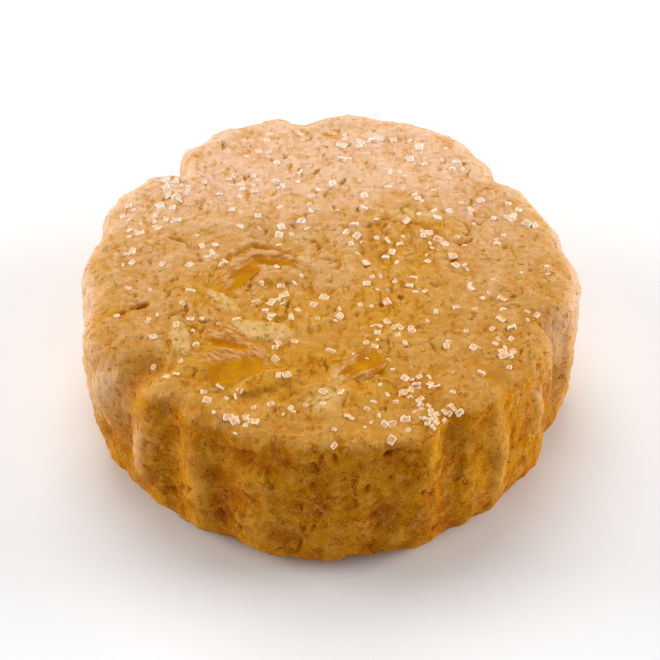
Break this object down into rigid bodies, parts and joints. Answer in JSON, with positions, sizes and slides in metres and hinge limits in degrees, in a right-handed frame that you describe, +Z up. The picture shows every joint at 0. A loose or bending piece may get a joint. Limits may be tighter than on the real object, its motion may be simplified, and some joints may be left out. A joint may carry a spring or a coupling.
{
  "type": "shortbread biscuit",
  "caption": "Thick round all-butter shortbread with a soft fluted edge, a flat base and pieces of stem ginger set in its sugared top.",
  "frame": {"origin": "centre of the biscuit's bounding box at the level of its flat base", "axes": "+Z up through the sugared top; the base lies on z = 0; -Y is the side towards the camera of the reference view; +X is to the right in that view"},
  "size_m": [0.0552, 0.0552, 0.0191],
  "materials": {
    "dough": "baked butter dough: peach-tan top, golden-brown sides, matt, fine crumb grain",
    "ginger": "candied stem ginger: amber, translucent, fibrous, slightly glossy",
    "sugar": "clear to white granulated sugar crystals"
  },
  "bodies": {
    "root": {"biscuit": "dough", "ginger_piece_1": "ginger", "ginger_piece_2": "ginger", "ginger_piece_3": "ginger"}
  },
  "joints": []
}
